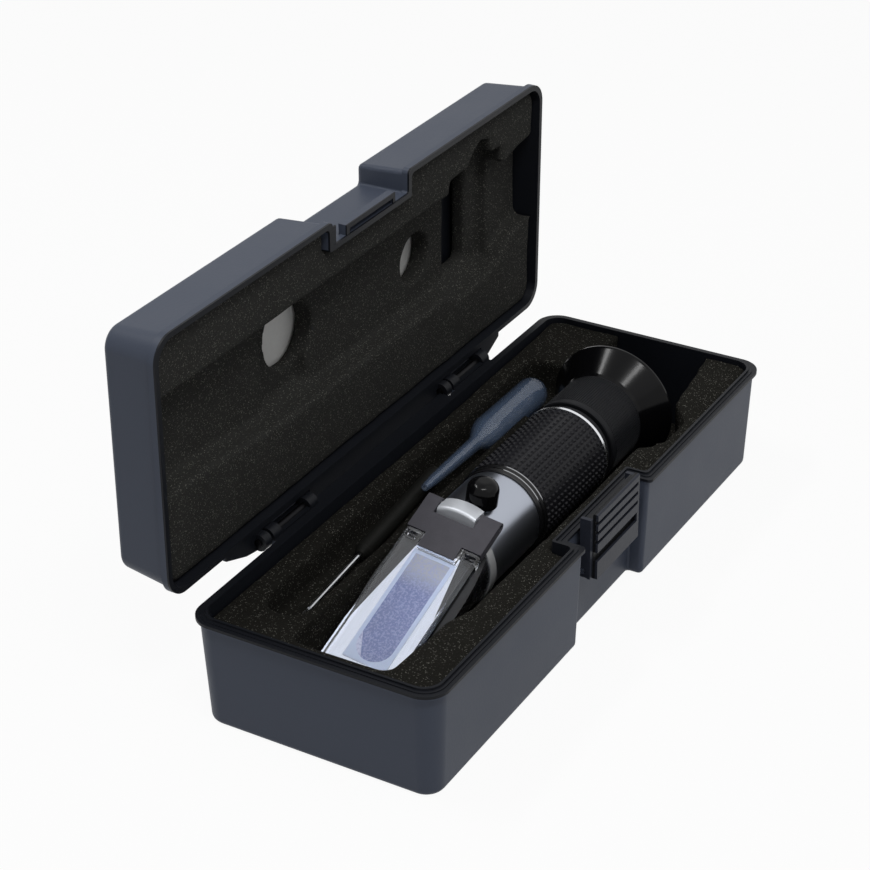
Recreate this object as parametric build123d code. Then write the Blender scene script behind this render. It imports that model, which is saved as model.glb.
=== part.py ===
from build123d import *
from math import atan2, cos, degrees, radians, sin
import os

# A hand-held optical refractometer lying in its hinged carrying case, with the pipette
# and the small screwdriver that go with it. Everything is in millimetres. The origin is
# the middle of the case's underside. X runs along the case towards the eyepiece, -Y is
# the latch side, +Y the hinge side and +Z is up. The lid is shown open.

# Case base
CASE_LENGTH = 205.0
CASE_WIDTH = 76.7
CASE_CORNER = 7.2
RIDGE_TOP = 34.5
STEP_TOP = 33.95
FLANGE_TOP = 33.7
FLANGE_UNDER = 32.7
WALL_SETBACK = 1.05
WALL_DRAFT = 1.3
CAVITY_INSET = 3.05
FLOOR = 2.0
BOTTOM_ROUND = 2.0

# Latch recess in the front of both halves
RECESS_X = 0.3
RECESS_HALF = 20.3
RECESS_Y = -31.9
RECESS_DRAFT = 0.15
RECESS_OUTER_ROUND = 1.5
RECESS_INNER_ROUND = 0.7

# Case lid, in its closed place
LID_LENGTH = 204.7
LID_WIDTH = 77.3
LID_RIM = 34.0
LID_LIP_TOP = 36.4
LID_TOP = 52.2
LID_WALL = 1.6
LID_DRAFT = 2.3
LID_ROOF = 1.8
LID_RECESS_Y = -31.5
LID_RECESS_TOP_Y = -30.35
LEDGE_HALF = 13.0
LEDGE_FRONT = -34.6
LEDGE_TOP = 36.9
POST_THICK = 1.7
POST_FRONT = -37.0

# Lid hinge
HINGE_Y = 42.1
HINGE_Z = 33.5
LID_OPEN = 89.0
HINGE_PIN_R = 1.2
BARREL_R = 2.6
RUNNING = 0.06
STATION_SHIFT = 100.0
FIXED_BARREL_X = -58.0
FIXED_BARREL_LENGTH = 22.5
KNUCKLE_X = -62.0
KNUCKLE_LENGTH = 3.0
BRACKET_Y = 36.9
BRACKET_LOW = 31.2
BRACKET_TOP = 33.2
TONGUE_Y = 44.8
TONGUE_TOP = 37.4

# Latch
LATCH_Y = -33.9
LATCH_Z = 21.5
LATCH_PIN_R = 1.0
PAD_HALF = 13.1
ARM_HALF = 14.7
ARM_THICK = 1.3
PAD_FRONT = -38.1
PAD_TOP = 39.9
PAD_BOTTOM = 18.9
PLATE_BACK = -35.6
PLATE_FRONT = -36.6
HOOK_TIP = -34.85
HOOK_UNDER = 37.1
HOOK_TOP = 38.6
LUG_OFFSET = 11.8
LUG_THICK = 2.4
LUG_EYE_R = 1.5
ARM_EYE_R = 1.9
GROOVES_Z = (31.0, 34.1, 37.2)
GROOVE_HALF = 0.55
GROOVE_BOTTOM_Y = -37.2

# Foam inserts
FOAM_GAP = 0.3
FOAM_TOP = 31.5
FOAM_FAR_TOP = 33.4
BARREL_POCKET = 13.5
CUP_POCKET = 7.6
TOOL_SLOT = 21.3
LID_FOAM_FACE = 36.0
LID_FOAM_BACK = 49.8
LID_CHANNEL = 43.0
LID_HINGE_POCKET = 46.0
LID_HOLES = [(-28.0, -4.5, 10.0), (39.2, -0.8, 8.0)]
LID_CUP_FLOOR = 41.5
LID_CUP_DEEP = 44.5
LID_CUP_X = (48.0, 80.0)
LID_RIM_SLOT_X = (58.5, 71.5)
LEAFLET_END = 52.0

# Instrument: its axis is parallel to X, and it lies rolled towards the latch side
AXIS_Y = -4.0
AXIS_Z = 28.0
ROLL = 7.9
BARREL_RADIUS = 13.25
SLEEVE_SEAT = 12.9
BARREL_BORE = 11.4
THROAT_BORE = 8.5
HOUSING_RADIUS = 13.6
HOUSING_TIP = -90.0
COLLAR_START = -37.6
COLLAR_END = -34.6
THROAT_END = -22.0
BARREL_SHOULDER = -8.0
BARREL_END = 33.0
GRIP_START = -4.5
GRIP_END = 31.9
GRIP_RADIUS = 14.2
NECK_END = 36.0

# Sloped prism face, seen from its upper end
SLOPE = 23.0
SLOPE_X = -40.0
SLOPE_U = 10.95
FLAP_THICK = 2.9
FACE_DEPTH = 3.35
SEAT_THICK = 1.2
SEAT_TIP = 50.5
SEAT_HALF = 11.7
SEAT_NECK_HALF = 6.6
SEAT_TAPER_END = 37.0
FLAP_HALF = 11.8
FLAP_TIP = 52.0
PRISM_HALF = 5.4
PRISM_NEAR = 43.4
PRISM_FAR = 8.0
PRISM_BOTTOM = -11.2
FLAP_PIN_T = 9.0
FLAP_PIN_N = -1.45
FLAP_PIN_R = 0.8
NOTCH_FRONT = 4.9
LUG_FRONT_X = -34.2
LUG_BACK_X = -28.95
LUG_LEFT = -5.0
LUG_RIGHT = 7.0
LUG_RADIUS = 15.5

# Calibration screw under its cap
SCREW_X = -24.1
SCREW_V = -1.5
BOSS_RADIUS = 3.4
CAP_RADIUS = 4.6
CAP_TOP = 21.0

# Focusing eyepiece
RING_START = 37.2
RING_SPIGOT = 56.0
RING_END = 58.0
RING_RADIUS = 14.0
CUP_RIM_X = 65.0
CUP_RIM_R = 20.0
CUP_BACK = 66.5
CELL_RADIUS = 10.5

# Pipette and screwdriver, lying in the tool slot
PIPETTE_BULB_R = 5.2
PIPETTE_STEM_R = 1.7
DRIVER_ANGLE = degrees(atan2(7.3, 84.0))
DRIVER_HANDLE_R = 2.5
DRIVER_BLADE_R = 0.75

INSTRUMENT = Pos(0, AXIS_Y, AXIS_Z) * Rot(ROLL, 0, 0)
SLOPE_PLANE = Plane(
    origin=(SLOPE_X, 0, SLOPE_U),
    x_dir=(cos(radians(SLOPE)), 0, sin(radians(SLOPE))),
    z_dir=(-sin(radians(SLOPE)), 0, cos(radians(SLOPE))),
)


def block(x0, x1, y0, y1, z0, z1):
    """A block between two opposite corners."""
    middle = Pos((x0 + x1) / 2, (y0 + y1) / 2, (z0 + z1) / 2)
    return middle * Box(x1 - x0, y1 - y0, z1 - z0)


def drum(x0, x1, radius, y=0.0, z=0.0):
    """A solid cylinder along X."""
    return Pos((x0 + x1) / 2, y, z) * Cylinder(radius, x1 - x0, rotation=(0, 90, 0))


def tube(x0, x1, radius, bore):
    """A hollow cylinder along the instrument's axis."""
    return drum(x0, x1, radius) - drum(x0 - 1, x1 + 1, bore)


def turned(points):
    """A solid turned round the X axis from its half section, given as (x, radius)."""
    outline = make_face(Polyline(*points, close=True))
    return revolve(Plane.XY * outline, axis=Axis.X)


def prism_shape(points, z0, z1):
    """A plan outline pulled up from z0 to z1."""
    outline = make_face(Polyline(*points, close=True))
    return extrude(Pos(0, 0, z0) * outline, amount=z1 - z0)


def case_outline(length, width, inset, recess_y, recess_half):
    """The case's plan, drawn in by an inset: a rounded rectangle with the latch recess."""
    half_width = width / 2 - inset
    plan = RectangleRounded(length - 2 * inset, 2 * half_width, CASE_CORNER - inset * 0.7)
    depth = recess_y + half_width
    plan = plan - Pos(RECESS_X, -half_width) * Rectangle(2 * recess_half, 2 * depth)
    plan = fillet(recess_corners(plan, recess_half, -half_width), RECESS_OUTER_ROUND)
    return fillet(recess_corners(plan, recess_half, recess_y), RECESS_INNER_ROUND)


def recess_corners(plan, recess_half, y):
    """The two corners of the recess that lie at one depth."""
    corners = [v for v in plan.vertices() if abs(v.Y - y) < 0.01]
    return [v for v in corners if abs(abs(v.X - RECESS_X) - recess_half) < 0.01]


def tapered(low, z_low, high, z_high):
    """A drafted block between a low and a high outline."""
    return loft([Pos(0, 0, z_low) * low, Pos(0, 0, z_high) * high], ruled=True)


def base_plan(inset):
    """The base's plan, with its recess drawn in as far as the rest."""
    return case_outline(CASE_LENGTH, CASE_WIDTH, inset, RECESS_Y + inset, RECESS_HALF + inset)


def base_wall_plan(inset):
    """The plan of the base's outer walls, whose recess has hardly any draft."""
    give = inset * RECESS_DRAFT
    return case_outline(CASE_LENGTH, CASE_WIDTH, inset, RECESS_Y + give, RECESS_HALF + give)


def lid_plan(inset, recess_y, wall=0):
    """The lid's plan, with hardly any draft on the recess's side walls."""
    recess_half = RECESS_HALF + wall + inset * RECESS_DRAFT
    return case_outline(LID_LENGTH, LID_WIDTH, wall + inset, recess_y, recess_half)


def base_walls():
    """Drafted outer walls with a rounded bottom edge."""
    walls = tapered(base_wall_plan(WALL_SETBACK + WALL_DRAFT), 0, base_wall_plan(WALL_SETBACK), FLANGE_UNDER)
    return fillet(walls.faces().sort_by(Axis.Z)[0].edges(), BOTTOM_ROUND)


def base_rim():
    """The flange, its low step and the narrow ridge that the lid closes round."""
    flange = extrude(Pos(0, 0, FLANGE_UNDER) * base_plan(0), amount=FLANGE_TOP - FLANGE_UNDER)
    step = extrude(Pos(0, 0, FLANGE_UNDER) * base_plan(1.3), amount=STEP_TOP - FLANGE_UNDER)
    ridge = extrude(Pos(0, 0, FLANGE_UNDER) * base_plan(2.3), amount=RIDGE_TOP - FLANGE_UNDER)
    return flange + step + ridge


def hinge_barrel(x0, x1):
    """One fixed barrel on its bracket, open on top in the middle where the pin shows."""
    bracket = block(x0, x1, BRACKET_Y, HINGE_Y, BRACKET_LOW, BRACKET_TOP)
    barrel = drum(x0, x1, BARREL_R, HINGE_Y, HINGE_Z)
    window = block(x0 + 4, x1 - 4, HINGE_Y - 3, HINGE_Y + 3, HINGE_Z + 0.3, HINGE_Z + 4)
    bore = drum(x0 - 1, x1 + 1, HINGE_PIN_R, HINGE_Y, HINGE_Z)
    return bracket + barrel - window - bore


def latch_lug(side):
    """One of the two lugs in the recess that carry the latch pin."""
    x0 = RECESS_X + side * LUG_OFFSET - LUG_THICK / 2
    x1 = x0 + LUG_THICK
    arm = block(x0, x1, LATCH_Y, RECESS_Y + 2.5, LATCH_Z - LUG_EYE_R, LATCH_Z + LUG_EYE_R)
    arm += drum(x0, x1, LUG_EYE_R, LATCH_Y, LATCH_Z)
    return arm - drum(x0 - 1, x1 + 1, LATCH_PIN_R, LATCH_Y, LATCH_Z)


def make_case_base():
    """The lower half of the case, moulded in one piece with its hinge rail and latch lugs."""
    shell = base_walls() + base_rim()
    barrel_end = FIXED_BARREL_X + FIXED_BARREL_LENGTH
    shell += hinge_barrel(FIXED_BARREL_X, barrel_end)
    shell += hinge_barrel(FIXED_BARREL_X + STATION_SHIFT, barrel_end + STATION_SHIFT)
    shell += block(barrel_end, KNUCKLE_X + STATION_SHIFT - 0.4, BRACKET_Y, HINGE_Y - 0.2, 31.9, BRACKET_TOP)
    floor_inset = CAVITY_INSET + WALL_DRAFT
    shell -= tapered(base_plan(floor_inset), FLOOR, base_plan(CAVITY_INSET), RIDGE_TOP + 0.001)
    for side in (-1, 1):
        shell += latch_lug(side)
    return shell


def lid_shell():
    """The lid's drafted roof and walls over a small lip."""
    lip = extrude(Pos(0, 0, LID_RIM) * lid_plan(0, LID_RECESS_Y), amount=LID_LIP_TOP - LID_RIM)
    low = lid_plan(0.5, LID_RECESS_Y + 0.35)
    high = lid_plan(LID_DRAFT, LID_RECESS_TOP_Y)
    walls = tapered(low, LID_RIM, high, LID_TOP)
    walls = fillet(walls.faces().sort_by(Axis.Z)[-1].edges(), BOTTOM_ROUND)
    return lip + walls


def lid_cavity(inset, z_low, z_high):
    """The room inside the lid, drawn in by an inset from its walls."""
    wall = LID_WALL + inset
    low = lid_plan(0, LID_RECESS_Y + wall, wall)
    high = lid_plan(LID_DRAFT, LID_RECESS_TOP_Y + wall, wall)
    return tapered(low, z_low, high, z_high)


def lid_tongue():
    """The flared strip along the lid's hinge edge, notched round the fixed barrels."""
    outline = [(-76.5, 36.8), (-76.5, 40.3), (-67, 43.9), (-62, TONGUE_Y), (65, TONGUE_Y), (69, 43.9),
               (76.5, 40.3), (76.5, 36.8)]
    strip = prism_shape(outline, LID_RIM + 0.2, TONGUE_TOP)
    barrel_end = FIXED_BARREL_X + FIXED_BARREL_LENGTH
    notch = block(FIXED_BARREL_X - 1.0, barrel_end + 0.6, 39.3, 50, 30, TONGUE_TOP - 1.0)
    strip -= notch
    strip -= Pos(STATION_SHIFT, 0, 0) * notch
    return strip


def lid_knuckle(x0):
    """One knuckle of the lid, turning on its hinge pin."""
    x1 = x0 + KNUCKLE_LENGTH
    ring = drum(x0, x1, BARREL_R, HINGE_Y, HINGE_Z)
    arm = block(x0, x1, 37.2, HINGE_Y + 1.2, LID_RIM + 0.2, LID_LIP_TOP)
    return ring + arm


def latch_ledge():
    """The slotted ledge in the lid's recess that the latch hooks over, and the post beside it."""
    x0 = RECESS_X - LEDGE_HALF
    x1 = RECESS_X + LEDGE_HALF
    ledge = block(x0, x1, LEDGE_FRONT, LID_RECESS_Y + 0.6, LID_RIM + 0.2, LEDGE_TOP)
    ledge -= block(x0 + 1.6, x1 - 1.2, -33.2, LID_RECESS_Y, LID_RIM, LEDGE_TOP - 0.8)
    wall_x = RECESS_X - RECESS_HALF
    post_end = wall_x + POST_THICK
    return ledge + block(wall_x - 0.4, post_end, POST_FRONT, LID_RECESS_Y + 0.6, LID_RIM + 0.1, LEDGE_TOP)


def opened(shape):
    """Swings a lid piece from its closed place to the open place of the photograph."""
    return shape.rotate(Axis((0, HINGE_Y, HINGE_Z), (1, 0, 0)), -LID_OPEN)


def make_case_lid():
    """The upper half of the case, moulded with its knuckles and latch ledge."""
    lid = lid_shell() + lid_tongue()
    lid += lid_knuckle(KNUCKLE_X) + lid_knuckle(KNUCKLE_X + STATION_SHIFT)
    bore = drum(KNUCKLE_X - 1, KNUCKLE_X + KNUCKLE_LENGTH + 1, HINGE_PIN_R + RUNNING, HINGE_Y, HINGE_Z)
    lid -= bore
    lid -= Pos(STATION_SHIFT, 0, 0) * bore
    lid -= lid_cavity(0, LID_RIM - 0.001, LID_TOP - LID_ROOF)
    lid += latch_ledge()
    return opened(lid)


def make_hinge_pins():
    """Two steel pins, pressed into the barrels of the base."""
    start = KNUCKLE_X - 0.4
    end = FIXED_BARREL_X + FIXED_BARREL_LENGTH
    near = drum(start, end, HINGE_PIN_R, HINGE_Y, HINGE_Z)
    return [near, Pos(STATION_SHIFT, 0, 0) * near]


def make_latch():
    """The latch plate: a ribbed thumb pad, two arms down to the pin and a hook on top."""
    x = RECESS_X
    plate = block(x - ARM_HALF, x + ARM_HALF, PLATE_FRONT, PLATE_BACK, 19.3, HOOK_TOP)
    pad = block(x - PAD_HALF, x + PAD_HALF, PAD_FRONT, PLATE_FRONT + 0.2, PAD_BOTTOM, PAD_TOP)
    pad = fillet(pad.edges().filter_by(Axis.X).group_by(Axis.Z)[-1], 0.5)
    hook = block(x - ARM_HALF, x + ARM_HALF, PLATE_BACK - 0.1, HOOK_TIP, HOOK_UNDER, HOOK_TOP)
    latch = plate + pad + hook
    for side in (-1, 1):
        latch += latch_arm(side)
    groove_end = x + PAD_HALF - 0.9
    groove = block(x - PAD_HALF - 1, groove_end, PAD_FRONT - 1, GROOVE_BOTTOM_Y, -GROOVE_HALF, GROOVE_HALF)
    for z in GROOVES_Z:
        latch -= Pos(0, 0, z) * groove
    latch -= block(x - PAD_HALF - 1, groove_end - 0.3, PAD_FRONT - 1, PLATE_FRONT - 0.2, 24.7, 27.6)
    return latch


def latch_arm(side):
    """One arm of the latch, bored for the pin."""
    x0 = RECESS_X + side * (ARM_HALF - ARM_THICK / 2) - ARM_THICK / 2
    x1 = x0 + ARM_THICK
    arm = block(x0, x1, PLATE_BACK - 0.1, -33.2, LATCH_Z, HOOK_TOP)
    arm += block(x0, x1, PLATE_BACK - 0.1, LATCH_Y, 19.5, LATCH_Z + 2)
    arm += drum(x0, x1, ARM_EYE_R, LATCH_Y, LATCH_Z)
    return arm - drum(x0 - 1, x1 + 1, LATCH_PIN_R + RUNNING, LATCH_Y, LATCH_Z)


def make_latch_pin():
    """The pin through the lugs and the latch's arms."""
    return drum(RECESS_X - ARM_HALF, RECESS_X + ARM_HALF, LATCH_PIN_R, LATCH_Y, LATCH_Z)


def foam_blank():
    """The foam block before its pockets are cut, a little higher at the eyepiece end."""
    low = base_plan(CAVITY_INSET + WALL_DRAFT + FOAM_GAP)
    high = base_plan(CAVITY_INSET + FOAM_GAP)
    blank = tapered(low, FLOOR + 0.1, high, RIDGE_TOP)
    profile = [(-110, FOAM_TOP), (20, FOAM_TOP), (62, 32.4), (110, FOAM_FAR_TOP), (110, 40), (-110, 40)]
    above = make_face(Polyline(*profile, close=True))
    return blank - extrude(Plane.XZ * above, amount=50, both=True)


def make_base_foam():
    """The lower foam insert with the instrument's pocket and the shared tool slot."""
    top = RIDGE_TOP + 1
    body = [(-94, -17), (-92, -19.4), (-67, -20.6), (-58, -23.6), (41, -24.6), (41, 11.2), (-58, 11.2),
            (-66, 10.8), (-92, 10.8), (-94, 9)]
    cup = [(40, -24.6), (42, -27.5), (47, -31), (60, -30.6), (69, -23.4), (91, -21), (103, -19.4),
           (103, 9.8), (76, 14.5), (70, 17.4), (44, 17.4), (40, 11.2)]
    slot = [(-85, 20), (-84, 16.2), (-80.5, 14.2), (71, 14.2), (73, 18), (73, 26), (70, 29.2), (30, 29.2),
            (14, 30.4), (-20, 28.8), (-79, 27.6), (-83.5, 25.4)]
    foam = foam_blank()
    foam -= prism_shape(body, BARREL_POCKET, top)
    foam -= prism_shape(cup, CUP_POCKET, top)
    foam -= prism_shape(slot, TOOL_SLOT, top)
    return foam


def make_lid_foam():
    """The upper foam insert, hollowed over the instrument, with two round through holes."""
    foam = lid_cavity(FOAM_GAP, LID_RIM, LID_TOP - LID_ROOF)
    foam &= block(-110, 110, -50, 50, LID_FOAM_FACE, LID_FOAM_BACK)
    low = LID_FOAM_FACE - 1
    channel = [(-101, -19.6), (50, -19.6), (50, 13.5), (-36, 13.5), (-84, 9), (-101, 9)]
    foam -= prism_shape(channel, low, LID_CHANNEL)
    foam -= block(-44, -22, -19.6, 12, low, LID_HINGE_POCKET)
    cup = [(46, -17), (55, -18), (58, -22), (62, -27), (67, -30), (72, -29), (75, -19.5), (82, -18),
           (90, -19.5), (104, -20.8), (104, 7), (90, 8), (73, 16.5), (54, 17.5), (46, 10)]
    foam -= prism_shape(cup, low, LID_CUP_FLOOR)
    foam -= block(*LID_CUP_X, -24, 15, low, LID_CUP_DEEP)
    foam -= block(*LID_RIM_SLOT_X, -21, 13, low, LID_FOAM_BACK + 1)
    for x, y, radius in LID_HOLES:
        foam -= Pos(x, y, LID_CHANNEL) * Cylinder(radius, 16)
    return opened(foam)


def make_leaflet():
    """A folded paper leaflet kept flat between the foam and the lid's roof."""
    return opened(block(-90, LEAFLET_END, -27, 32, LID_FOAM_BACK + 0.1, LID_FOAM_BACK + 0.5))


def above_face(depth=FACE_DEPTH):
    """Everything above the sloped face of the instrument, used to cut it flat."""
    return SLOPE_PLANE * Pos(-10, 0, 25 - depth) * Box(110, 60, 50)


def make_prism():
    """The glass wedge under the flap, with its rounded end towards the tip."""
    top = -FACE_DEPTH + 0.25
    plan = Pos(-(PRISM_NEAR + PRISM_FAR) / 2 + PRISM_HALF / 2, 0) * Rectangle(
        PRISM_NEAR - PRISM_FAR - PRISM_HALF, 2 * PRISM_HALF)
    plan += Pos(-PRISM_NEAR + PRISM_HALF, 0) * Circle(PRISM_HALF)
    column = SLOPE_PLANE * extrude(Pos(0, 0, -30) * plan, amount=30 + top)
    return column & block(-100, -45.2, -20, 20, PRISM_BOTTOM, 20)


def make_prism_frame():
    """The thin sealing frame that beds the prism in the housing."""
    length = PRISM_NEAR - PRISM_FAR + 2.4
    middle = Pos(-(PRISM_NEAR + PRISM_FAR) / 2, 0, -FACE_DEPTH + 0.02)
    ring = Box(length, 2 * PRISM_HALF + 2.4, 0.2, align=(Align.CENTER, Align.CENTER, Align.MIN))
    frame = SLOPE_PLANE * middle * ring
    return frame - prism_gap()


def prism_gap():
    """The prism's shape with a hair of clearance, to cut its seat."""
    plan = Pos(-(PRISM_NEAR + PRISM_FAR) / 2, 0) * Rectangle(
        PRISM_NEAR - PRISM_FAR + 0.2, 2 * PRISM_HALF + 0.2)
    column = SLOPE_PLANE * extrude(Pos(0, 0, -30) * plan, amount=32)
    return column & block(-100, -45.0, -20, 20, PRISM_BOTTOM - 0.1, 20)


def make_prism_seat():
    """The polished plate round the prism, narrow at the hinge and as wide as the flap below."""
    outline = [(-4.5, -SEAT_NECK_HALF), (-4.5, SEAT_NECK_HALF), (-SEAT_TAPER_END, SEAT_HALF),
               (-SEAT_TIP, SEAT_HALF), (-SEAT_TIP, -SEAT_HALF), (-SEAT_TAPER_END, -SEAT_HALF)]
    plate = prism_shape(outline, -FACE_DEPTH - SEAT_THICK, -FACE_DEPTH)
    plate = fillet(plate.edges().filter_by(Axis.Z).group_by(Axis.X)[0], 3.0)
    return SLOPE_PLANE * plate - prism_gap()


def make_prism_housing():
    """The metal head: a cylinder cut to the prism's slope, with the light's way inside."""
    head = drum(HOUSING_TIP, COLLAR_START, HOUSING_RADIUS)
    head = chamfer(head.faces().sort_by(Axis.X)[0].edges(), 1.2)
    head += drum(COLLAR_START - 0.1, COLLAR_END, HOUSING_RADIUS - 1)
    head -= above_face(FACE_DEPTH + SEAT_THICK)
    head -= prism_gap()
    head -= Pos(0, 0, -4) * drum(-45.2, COLLAR_END + 1, 6.5)
    return head


def make_front_collar():
    """The split ring over the joint between head and barrel."""
    return tube(COLLAR_START, COLLAR_END, 14.0, HOUSING_RADIUS - 0.95) - above_face()


def make_barrel():
    """The satin metal tube with the boss for the calibration screw."""
    barrel = drum(COLLAR_END, BARREL_SHOULDER, BARREL_RADIUS)
    barrel += drum(BARREL_SHOULDER - 1, BARREL_END, SLEEVE_SEAT)
    barrel -= above_face()
    barrel += Pos(SCREW_X, SCREW_V, 11.6) * Cylinder(BOSS_RADIUS, 5.2)
    barrel -= drum(COLLAR_END - 1, THROAT_END, THROAT_BORE)
    barrel -= drum(THROAT_END - 0.1, BARREL_END + 1, BARREL_BORE)
    return barrel - Pos(SCREW_X, SCREW_V, 10) * Cylinder(1.6, 16)


def make_hinge_lug():
    """The metal lug on the barrel that the flap's pin goes through, rounded like the barrel."""
    lug = block(LUG_FRONT_X, LUG_BACK_X, LUG_LEFT, LUG_RIGHT, 0, 20)
    lug &= drum(LUG_FRONT_X - 1, LUG_BACK_X + 1, LUG_RADIUS)
    top = lug.faces().sort_by(Axis.Z)[-1].edges()
    lug = fillet([edge for edge in top if edge.center().X < LUG_FRONT_X + 0.01], 1.0)
    lug -= SLOPE_PLANE * Pos(-10, 0, -25 - FACE_DEPTH) * Box(110, 60, 50)
    pin = Pos(FLAP_PIN_T, 0, FLAP_PIN_N) * Cylinder(FLAP_PIN_R, 40, rotation=(90, 0, 0))
    return lug - SLOPE_PLANE * pin


def make_flap_pin():
    """The pin across the lug that the flap swings on."""
    return SLOPE_PLANE * Pos(FLAP_PIN_T, 0, FLAP_PIN_N) * Cylinder(FLAP_PIN_R, 22.6, rotation=(90, 0, 0))


def make_flap_block():
    """The dark T-shaped block that carries the flap and turns on the pin."""
    block_t = block(-1.9, 10.6, -11.65, 11.65, -FLAP_THICK, 0)
    rear = block_t.faces().sort_by(Axis.X)[-1].edges().filter_by(Axis.Y)
    block_t = fillet(rear, 1.4)
    block_t += block(-6.5, -1.9, -5.75, 5.75, -FLAP_THICK, 0)
    block_t -= block(NOTCH_FRONT, 12, LUG_LEFT - 0.3, LUG_RIGHT + 0.3, -5, 5)
    block_t -= Pos(FLAP_PIN_T, 0, FLAP_PIN_N) * Cylinder(FLAP_PIN_R + RUNNING, 40, rotation=(90, 0, 0))
    return SLOPE_PLANE * block_t


def make_daylight_plate():
    """The clear flap that spreads the sample over the prism."""
    plate = block(-FLAP_TIP, -2.2, -FLAP_HALF, FLAP_HALF, -FLAP_THICK, 0)
    plate = fillet(plate.edges().filter_by(Axis.Z).group_by(Axis.X)[0], 3.0)
    plate = chamfer(plate.faces().sort_by(Axis.Z)[-1].edges().filter_by(Axis.X), 1.1)
    plate -= block(-6.6, -2, -5.85, 5.85, -5, 5)
    for side in (-1, 1):
        plate -= Pos(-4.1, side * 9.2, 0) * Box(1.8, 3.4, 10)
    return SLOPE_PLANE * plate


def make_calibration_screw():
    """The slotted adjusting screw under the cap."""
    screw = Pos(SCREW_X, SCREW_V, 11.7) * Cylinder(1.5, 5.4)
    screw += Pos(SCREW_X, SCREW_V, 15.2) * Cylinder(2.4, 1.6)
    return screw - Pos(SCREW_X, SCREW_V, 16) * Box(6, 0.6, 1.6)


def make_screw_cap():
    """The push-on cap that covers the calibration screw."""
    low = 13.5
    cap = Pos(SCREW_X, SCREW_V, (low + CAP_TOP) / 2) * Cylinder(CAP_RADIUS, CAP_TOP - low)
    cap = fillet(cap.faces().sort_by(Axis.Z)[-1].edges(), 3.2)
    return cap - Pos(SCREW_X, SCREW_V, 15) * Cylinder(BOSS_RADIUS + 0.08, 4.8)


def make_front_ring():
    """The chrome ring before the grip: two rounded beads with a groove between them."""
    bore = SLEEVE_SEAT + 0.03
    start = BARREL_SHOULDER + 0.05
    end = GRIP_START - 0.05
    return turned([(start, bore), (start, 13.6), (-7.2, 13.6), (-6.9, 13.95), (-6.2, 13.95), (-5.9, 13.6),
                   (-5.5, 13.6), (-5.2, 14.05), (end, 14.05), (end, bore)])


def make_neck():
    """The black neck screwed into the barrel; the focusing ring turns round its sleeve."""
    neck = tube(22, BARREL_END, BARREL_BORE - 0.05, 10.0)
    neck += tube(BARREL_END, NECK_END, 13.3, 10.6)
    neck += tube(NECK_END - 1, 48, 11.6, 10.6)
    return neck - tube(28, 29.4, 13, 10.45)


def make_neck_seal():
    """The rubber ring in the neck's groove."""
    return Pos(28.7, 0, 0) * Torus(10.92, 0.44, rotation=(0, 90, 0))


def make_objective_cell():
    return tube(-20, -12, BARREL_BORE - 0.05, 8.05)


def lens(x, radius, edge, crown):
    """A lens with two gently curved faces."""
    half = edge / 2
    ball = (radius ** 2 + crown ** 2) / (2 * crown)
    front = Pos(x + half + crown - ball, 0, 0) * Sphere(ball)
    back = Pos(x - half - crown + ball, 0, 0) * Sphere(ball)
    return drum(x - half - crown, x + half + crown, radius) & front & back


def make_reticle_holder():
    return tube(14.8, 18.0, BARREL_BORE - 0.05, 9.05)


def make_compensation_strip():
    """The two-metal strip that shifts the scale with temperature."""
    strip = block(-11.8, 14.0, -3, 3, -11.0, -10.4)
    return strip + block(-11.8, -9.0, -3, 3, -10.5, -8.6)


def make_strip_screws():
    """Two small screws in the strip's foot."""
    return [Pos(-10.4, v, -8.25) * Cylinder(0.8, 0.7) for v in (-1.6, 1.6)]


def make_focus_ring():
    """The ring that is turned to focus, with a spigot for the eyecup."""
    ring = turned([(RING_START, 11.7), (RING_START, RING_RADIUS), (RING_SPIGOT, RING_RADIUS),
                   (RING_SPIGOT, 12.0), (RING_END, 12.0), (RING_END, 10.6), (50, 10.6), (50, 11.7)])
    return ring


def make_eyecup():
    """The flared eyecup."""
    return turned([(RING_SPIGOT + 0.05, 12.02), (RING_SPIGOT + 0.05, RING_RADIUS), (57.2, 14.4),
                   (CUP_RIM_X - 0.6, CUP_RIM_R - 0.3), (CUP_RIM_X, CUP_RIM_R), (65.6, CUP_RIM_R - 0.05),
                   (CUP_BACK, 19.3), (CUP_BACK - 0.2, 18.7), (60.2, 12.9), (58.4, 12.02)])


def make_eyepiece_cell():
    """The sliding cell that holds the eyepiece lens."""
    cell = tube(38, 52, CELL_RADIUS, 7.4)
    return cell - drum(48, 53, 8.55)


def make_pipette():
    """A squeezable pipette, moulded hollow: a bulb, a shoulder and a thin stem."""
    profile = Polyline(
        (-8, 0.7), (-8, 1.15), (-2, PIPETTE_STEM_R), (24, 2.3), (29, PIPETTE_BULB_R - 0.7),
        (31, PIPETTE_BULB_R - 0.1), (33, PIPETTE_BULB_R), (61, PIPETTE_BULB_R))
    outer_end = TangentArc((61, PIPETTE_BULB_R), (66.2, 0), tangent=(1, 0))
    thin = 0.8
    inner_end = TangentArc((61, PIPETTE_BULB_R - thin), (66.2 - thin, 0), tangent=(1, 0))
    inner = Polyline(
        (61, PIPETTE_BULB_R - thin), (33, PIPETTE_BULB_R - thin), (31, PIPETTE_BULB_R - thin - 0.1),
        (29, PIPETTE_BULB_R - thin - 0.7), (24, 1.5), (-2, 1.0), (-8, 0.7))
    closing = Line((66.2, 0), (66.2 - thin, 0))
    section = make_face([profile, outer_end, closing, inner_end, inner])
    body = revolve(section, axis=Axis.X)
    return Pos(0, 20.88, 29.04) * Rot(0, 2.1, 1.6) * body


def along_driver(shape):
    """Lays a screwdriver piece, made along X from the tip, in the tool slot."""
    return Pos(-74.4, 19.7, 24.0) * Rot(0, 0, DRIVER_ANGLE) * shape


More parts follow.
